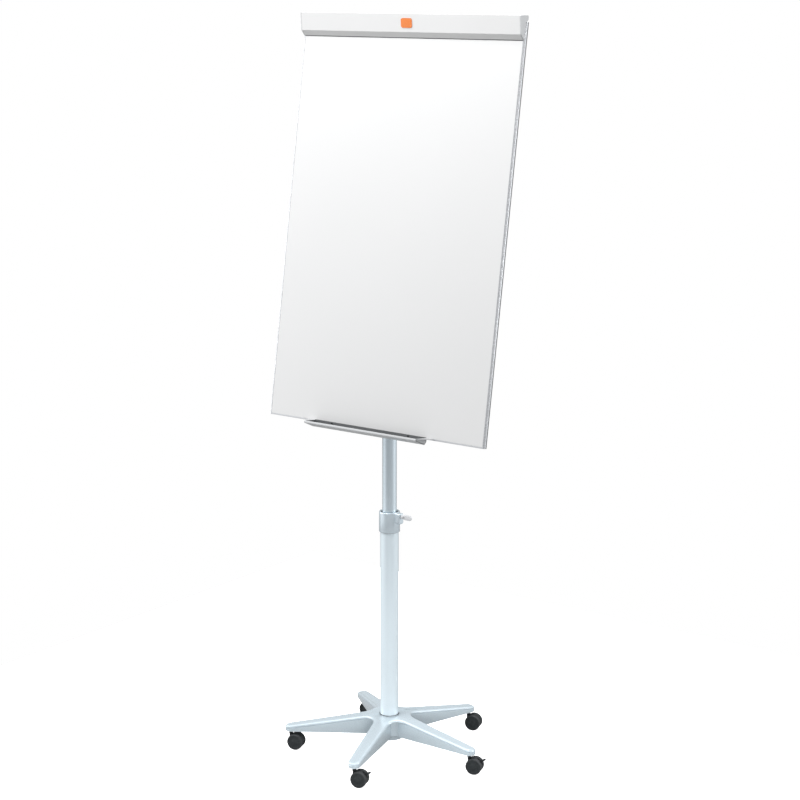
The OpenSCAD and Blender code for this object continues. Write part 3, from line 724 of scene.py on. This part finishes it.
def make_brake(i):
    """Pedal on a pin through the hood, with a wide tip and grip ribs."""
    name = f"brake_{i + 1}"
    castor = castor_place(i)
    upright = Matrix.Rotation(math.pi / 2, 4, "X")
    x, z = TRAIL + 11, WHEEL_R + 10
    lever = [
        (-3.4, 0.5), (-2.6, -1.2), (-1, -3.4), (3.6, -1.6), (8.4, 0.5), (10.6, 2.8), (12.4, 5.3), (15, 7.2),
        (17.4, 8.5), (17.5, 9.1), (16.9, 9.4), (12.6, 8.9), (8, 8.0), (3, 6.4), (-1.8, 4.4), (-2.9, 2.8)
    ]
    tip = [
        (11.0, 5.4), (12.4, 4.9), (15, 6.4), (17.7, 8.0), (17.9, 8.9), (17.2, 9.5), (12.8, 9.2), (11.0, 8.6)
    ]
    shape = Shape()
    for outline, half, round_r in ((lever, 2.95, 0.6), (tip, 6.5, 0.7)):
        shape.prism([(x + u, z + v) for u, v in outline], -half, half, castor @ upright, round_r)
    slope = math.atan2(8.9 - 4.4, 12.6 + 1.8)
    rib = [(-0.45, -0.4), (0.45, -0.4), (0.3, 0.5), (-0.3, 0.5)]
    for k in range(5):
        f = 0.42 + 0.12 * k
        px = x - 1.8 + 14.4 * f
        pz = z + 4.4 + 4.5 * f + 0.42 * math.sin(math.pi * f)
        turn = castor @ Matrix.Translation((px, 0, pz)) @ Matrix.Rotation(-slope, 4, "Y") @ upright
        shape.prism(rib, -2.5, 2.5, turn, 0.12)
    pin = [(0.01, -4.8), (1.3, -4.8), (1.5, -4.6), (1.5, 4.6), (1.3, 4.8), (0.01, 4.8)]
    shape.lathe(pin, castor @ Matrix.Translation((x, 0, z)) @ upright, steps=24)
    made = shape.make(f"{name}_pedal", 40)
    place_piece(made, name, "charcoal", [name])


# ---------------------------------------------------------------- hand knobs and screws


def make_knob():
    """Five-lobed knob with finger flutes and a domed cap."""
    place = Matrix.Translation((15.9, 0, PIVOT_Z)) @ ALONG_X
    shape = Shape()
    shape.lathe([(5.06, 0.4), (5.3, 0), (8.6, 0), (9, 0.4), (9.3, 5.6), (5.06, 5.6)], place, closed=True)
    steps = 120

    def lobes(scale, z, soft):
        ring = []
        for k in range(steps):
            a = 2 * math.pi * k / steps
            wave = 0.5 + 0.5 * math.cos(5 * a)
            r = (13.0 + 3.4 * wave ** (0.7 + soft)) * scale
            ring.append(place @ Vector((r * math.cos(a), r * math.sin(a), z)))
        return ring

    shape.rings([
        lobes(0.50, 5.0, 0), lobes(0.93, 5.0, 0), lobes(0.985, 5.5, 0), lobes(1.0, 6.6, 0),
        lobes(1.0, 15.6, 0), lobes(0.985, 16.8, 0), lobes(0.94, 17.7, 0.1), lobes(0.86, 18.2, 0.3),
        lobes(0.72, 18.5, 0.8), lobes(0.66, 18.4, 1.5), lobes(0.62, 18.7, 2.5), lobes(0.56, 19.2, 3),
        lobes(0.35, 19.5, 4), lobes(0.02, 19.5, 5)
    ])
    made = shape.make("tilt_knob_grip", 50)
    place_piece(made, "knob", "charcoal", ["tilt_knob"])


def make_collar():
    """Clamp collar with rounded rims, a pierced boss, a dark sealing ring at the top and a dark ring of
    painted shade round its foot.
    """
    place = Matrix.Identity(4)
    shape = Shape()
    body = [
        (24.15, 595.3), (24.6, 594.7), (26.0, 594.7), (26.7, 595.0), (27, 595.8), (27, 645.8), (26.75, 647.2),
        (26.0, 648.2), (24.9, 648.5), (22.7, 648.5), (22.0, 648.0), (21.8, 647.2), (21.8, 640), (19.35, 640),
        (19.35, 629.2), (24.15, 629.2)
    ]
    shape.lathe(body, place, closed=True, steps=96)
    outline = []
    for cy, cz, start in ((4.5, -9, -90), (4.5, 9, 0), (-4.5, 9, 90), (-4.5, -9, 180)):
        outline += arc(cy, cz - 6, 5, start, start + 90, 12)
    hole = []
    for y, z in outline:
        reach = math.hypot(y, z)
        hole.append((4.05 * y / reach, 4.05 * z / reach))

    def ring(path, x):
        return [Vector((x, y, SCREW_Z + z)) for y, z in path]

    shape.rings([
        ring(hole, 20), ring(outline, 20), ring(outline, 36.2), ring(inset_outline(outline, 0.35), 37.3),
        ring(inset_outline(outline, 1.2), 37.9), ring(inset_outline(outline, 2.2), 38),
        ring([(y * 1.12, z * 1.12) for y, z in hole], 38), ring(hole, 37.5)
    ], closed=True)
    shape.mark = 1
    seal = [(19.0, 640.2), (19.0, 645.4), (19.5, 646.3), (21.2, 646.6), (21.75, 646.2), (21.75, 640.2)]
    shape.lathe(seal, place, closed=True, steps=96)
    # Painted shade: a dark ring round the collar's foot standing for its contact shadow on the lower tube.
    foot_shade_ring = [(24.13, 594.0), (24.9, 594.0), (25.3, 594.3), (25.3, 594.9), (24.13, 594.9)]
    shape.lathe(foot_shade_ring, place, closed=True, steps=96)
    made = shape.make("collar_body", 42)
    place_piece(made, "base", "paint", ["collar"], [MATERIALS["mast_paint"], MATERIALS["charcoal"]])


def make_thumb_screw():
    """Threaded shank with a knurled shoulder and a flat wing."""
    place = Matrix.Translation((0, 0, SCREW_Z)) @ ALONG_X
    shape = Shape()
    shape.lathe([(0.01, 22.4), (3.6, 22.4), (4, 22.8), (4, 40), (0.01, 40)], place, steps=40)
    steps = 96

    def knurl(r, x):
        ring = []
        for k in range(steps):
            a = 2 * math.pi * k / steps
            wave = r - (0.22 if k % 4 in (2, 3) and r > 5.6 else 0)
            ring.append(place @ Vector((wave * math.cos(a), wave * math.sin(a), x)))
        return ring

    shoulder = [(3.9, 38.5), (5.5, 38.5), (6.0, 39.1), (6.0, 46.4), (5.5, 47.0), (3.9, 47.0)]
    shape.rings([knurl(r, x) for r, x in shoulder])
    wing = [(39.6, -4.6), (45.5, -5.8), (50, -6.8), (62, -7.0)]
    wing += arc(63, 0, 7, -78, 78, 18)
    wing += [(62, 7.0), (50, 6.8), (45.5, 5.8), (39.6, 4.6)]
    flat = Matrix.Translation((0, 0, SCREW_Z)) @ Matrix.Rotation(math.pi / 2, 4, "X")
    shape.prism(wing, -2.4, 2.4, flat, 1.3, 4)
    made = shape.make("thumb_screw", 42)
    place_piece(made, "lock_turn", "steel", ["lock_screw"], [MATERIALS["zinc"]])


def screw_head(shape, place, radius, height, shank, length):
    """Pan head with a hexagon socket; the shank runs back along local -Z."""
    socket = radius * 0.48
    hexagon = []
    for k in range(48):
        a = 2 * math.pi * k / 48
        sector = (a + math.pi / 6) % (math.pi / 3) - math.pi / 6
        hexagon.append((a, socket * math.cos(math.pi / 6) / math.cos(sector)))

    def ring(r, z):
        return [place @ Vector((r * math.cos(a), r * math.sin(a), z)) for a, _ in hexagon]

    def hole(scale, z):
        return [place @ Vector((h * scale * math.cos(a), h * scale * math.sin(a), z)) for a, h in hexagon]

    shape.rings([
        ring(shank, -length), ring(shank, 0), ring(radius * 0.97, 0), ring(radius, height * 0.25),
        ring(radius * 0.94, height * 0.68), ring(radius * 0.78, height * 0.93), ring(radius * 0.62, height),
        hole(1.06, height), hole(1.0, height * 0.92), hole(1.0, height * 0.3), hole(0.05, height * 0.24)
    ])


def make_screws():
    board = board_place()
    pivot_up = BOARD_FRONT * math.sin(LEAN) + (PIVOT_Z - BOARD_LOW) * math.cos(LEAN)
    shape = Shape()
    for u in (-19, 19):
        for v in (pivot_up - 28, pivot_up + 92):
            place = board @ Matrix.Translation((u, 21.1, v)) @ Matrix.Rotation(-math.pi / 2, 4, "X")
            screw_head(shape, place, 3.6, 2.3, 2.0, 6.4)
    made = shape.make("bracket_screw_set", 35)
    place_piece(made, "board", "steel", ["bracket_screws"])
    shape = Shape()
    for u in (-130, 110):
        place = board @ Matrix.Translation((u, -1.5, 1.6)) @ Matrix.Rotation(math.pi / 2, 4, "X")
        screw_head(shape, place, 2.2, 1.7, 1.5, 1.3)
    made = shape.make("tray_screw_set", 35)
    # The tray screw heads are painted near black as painted shade, to match the trough's painted shade.
    place_piece(made, "board", "steel", ["tray_screws"], [MATERIALS["dark_steel"]])


# ---------------------------------------------------------------- pen tray


def rounded_path(points, radii, steps=6):
    """A path of (x, y) points whose inner corners are replaced by arcs of the given radii."""
    path = [points[0]]
    for i in range(1, len(points) - 1):
        here = Vector(points[i])
        first = (Vector(points[i - 1]) - here).normalized()
        second = (Vector(points[i + 1]) - here).normalized()
        half = math.acos(max(-1, min(1, first.dot(second)))) / 2
        middle = here + (first + second).normalized() * (radii[i - 1] / math.sin(half))
        start = here + first * (radii[i - 1] / math.tan(half)) - middle
        stop = here + second * (radii[i - 1] / math.tan(half)) - middle
        turn = math.atan2(start.x * stop.y - start.y * stop.x, start.dot(stop))
        for k in range(steps + 1):
            a = turn * k / steps
            path.append((
                middle.x + start.x * math.cos(a) - start.y * math.sin(a),
                middle.y + start.x * math.sin(a) + start.y * math.cos(a),
            ))
    path.append(points[-1])
    return path


def make_tray():
    """Folded trough with rounded bends, closed ends and pointed ears; its inside is painted shade, a thin
    dark sheet over the inner faces.
    """
    board = board_place()
    outer = [(-45.4, 2.6), (-46, -2.6), (-7, -13.2), (-0.05, -5), (-0.05, 3.6)]
    inner = [(-43.9, 2.6), (-44.45, -1.46), (-7.52, -11.5), (-1.5, -4.45), (-1.5, 3.6)]
    shade_face = [(-43.5, 2.7), (-44.12, -1.2), (-7.6, -11.12), (-1.8, -4.3), (-1.8, 5.2)]
    skin = rounded_path(outer, (1.9, 2.4, 3.0)) + [(-0.2, 3.9), (-1.35, 3.9)]
    skin += rounded_path(inner, (0.5, 1.0, 1.6))[::-1] + [(-44.1, 2.9), (-45.2, 2.9)]
    low, high = -185.5, 165.5

    def loop(path, u):
        return [board @ Vector((u, y, z)) for y, z in path]

    shape = Shape()
    shape.rings([loop(skin, low), loop(skin, high)])
    end = rounded_path(outer, (1.9, 2.4, 3.0))
    flat = Matrix(((0, 0, 1, 0), (1, 0, 0, 0), (0, 1, 0, 0), (0, 0, 0, 1)))
    for u in (low, high - 1.4):
        shape.prism(end, u, u + 1.4, board @ flat, 0.3)
    tilt = math.atan(1.0 / 45.4)
    for side, wall in ((-1, low), (1, high)):
        tip = wall + side * 24.5
        ear = [
            (wall - side, -45), (wall, -45), (tip - side * 0.6, -1.9), (tip, -1.2), (tip, -0.05),
            (wall - side, -0.05)
        ]
        if side < 0:
            ear = ear[::-1]
        place = board @ Matrix.Translation((0, 0, 2.4)) @ Matrix.Rotation(tilt, 4, "X")
        shape.prism(ear, 0.0, 1.45, place, 0.25)
    # Painted shade: a thin dark sheet laid over the trough's inner faces and end walls, where the inside
    # falls in shade.
    shape.mark = 1
    under = [(-43.88, 2.7), (-44.42, -1.44), (-7.54, -11.44), (-1.52, -4.4), (-1.52, 5.2)]
    shade_sheet = rounded_path(under, (0.5, 1.0, 1.6)) + rounded_path(shade_face, (0.5, 1.0, 1.6))[::-1]
    shape.rings([loop(shade_sheet, low + 1.45), loop(shade_sheet, high - 1.45)])
    end_shade_sheet = rounded_path(
        [(-43.6, 2.5), (-44.2, -1.3), (-7.6, -11.2), (-1.7, -4.3), (-1.7, 3.5)], (0.5, 1.0, 1.6)
    )
    for u in (low + 1.42, high - 1.72):
        shape.prism(end_shade_sheet, u, u + 0.3, board @ flat, 0.0)
    made = shape.make("tray_shell", 30)
    place_piece(
        made, "board", "silver", ["pen_tray"], [MATERIALS["tray_grey"], MATERIALS["tray_painted_shade"]]
    )


# ---------------------------------------------------------------- frame rails


def make_rails():
    """Extruded rails with a rounded nose, a line down the side and a rounded rear edge painted near black as
    painted shade.
    """
    half_w, flange = 335.0, 8
    top_drop, top_slope = 4.486, 0.9143
    front = [(4, 1.0), (4, 0.25), (3.75, 0)] + arc(1.1, 1.1, 1.1, 270, 180, 6)
    front += [(0, 3.1), (0.1, 3.3), (0.3, 3.5), (0.3, 4.5), (0.1, 4.7), (0, 4.9), (0, 9.2)]
    front += [(1.5, 9.2), (1.5, 8.6), (1.5, 1.0)]
    rear = [(0, 9.2), (0.05, 10.9)] + arc(2.3, 11.6, 2.3, 180, 90, 8)[1:]
    rear += [(3, 13.9), (3, 12.4), (1.5, 12.3), (1.5, 9.2)]
    shelf = [(1.5, 9.8), (flange, 9.8), (flange, 8.6), (1.5, 8.6), (1.5, 8.61)]
    # The rear wall takes the second material: painted shade for the dark line along the rail's back edge.
    walls = ((0, front), (1, rear), (0, shelf))
    board = board_place()

    def upright(side):
        shape = Shape()
        for mark, path in walls:
            shape.mark = mark
            low = [board @ Vector((side * (half_w - x), y, min(x, flange))) for x, y in path]
            top = []
            for x, y in path:
                cut = min(BOARD_H, BOARD_H - top_drop + top_slope * y)
                top.append(board @ Vector((side * (half_w - x), y, cut)))
            shape.rings([low, top])
        return shape

    def level():
        shape = Shape()
        for mark, path in walls:
            shape.mark = mark
            left = [board @ Vector((-half_w + min(x, flange), y, x)) for x, y in path]
            right = [board @ Vector((half_w - min(x, flange), y, x)) for x, y in path]
            shape.rings([left, right])
        return shape

    for name, shape, finish in (
        ("left", upright(-1), "silver_z"), ("right", upright(1), "silver_z"), ("bottom", level(), "silver_x")
    ):
        made = shape.make(f"rail_{name}", 32)
        place_piece(made, "board", "silver", [f"frame_{name}"], [MATERIALS[finish], MATERIALS["rail_rear_painted_shade"]])


# ---------------------------------------------------------------- clamp badge


def make_badge():
    """Blank domed badge with a raised rim."""
    reach, low = 26.2, 16.1
    top, edge = BOARD_H + 10.9, BOARD_H - 32.6
    tilt = math.atan((reach - low) / (top - edge))
    centre = Matrix.Translation((0, -(reach + low) / 2, (top + edge) / 2))
    place = board_place() @ centre @ Matrix.Rotation(tilt, 4, "X") @ Matrix.Rotation(math.pi / 2, 4, "X")
    corner = 5.5
    outline = []
    for cx, cy, start in ((11.5, -6.5, -90), (11.5, 6.5, 0), (-11.5, 6.5, 90), (-11.5, -6.5, 180)):
        outline += arc(cx, cy, corner, start, start + 90, 10)

    def ring(inset, z):
        return [place @ Vector((x, y, z)) for x, y in inset_outline(outline, inset)]

    shape = Shape()
    shape.rings([
        ring(0.2, 0.0), ring(0.0, 0.2), ring(0.0, 0.9), ring(0.25, 1.25), ring(0.7, 1.4), ring(1.3, 1.35),
        ring(1.7, 1.15), ring(2.2, 1.15), ring(3.2, 1.28), ring(4.6, 1.38)
    ])
    made = shape.make("badge_dome", 50)
    place_piece(made, "clamp", "badge_orange", ["clamp_badge"])


# ---------------------------------------------------------------- everything


EDGES = {
    "header": 0.3, "clamp_bar": 0.6, "clamp_cap_left": 0.7, "clamp_cap_right": 0.7, "tilt_bracket": 0.5,
    "spine": 0.4, "collar_bush": 0.3, "tilt_head": 0.8, "pivot_bolt": 0.5, "foot_bolt": 0.5,
    "hinge_blocks": 0.4, "corner_plugs": 0.4, "column_glide": 0.4, "upper_tube": 0.3, "lower_tube": 0.3,
    "foot_ring": 0.25, "castor_stems": 0.3, "lock_pad": 0.3, "peg_left": 0.3, "peg_right": 0.3,
    "hinge_pins": 0.3, "tube_plug": 0.3, "board_face": 0.15, "board_core": 0.1, "clamp_grip": 0.05,
}

make_camera()
make_studio()
for node_name, node_object in frame["nodes"].items():
    dress(node_object, finish_of(node_name))
    if node_name in EDGES:
        soften(node_name, EDGES[node_name])
make_star()
for castor in range(5):
    make_housing(castor)
    make_wheel(castor, 1)
    make_wheel(castor, -1)
for castor in BRAKED:
    make_brake(castor)
make_knob()
make_collar()
make_thumb_screw()
make_screws()
make_tray()
make_rails()
make_badge()
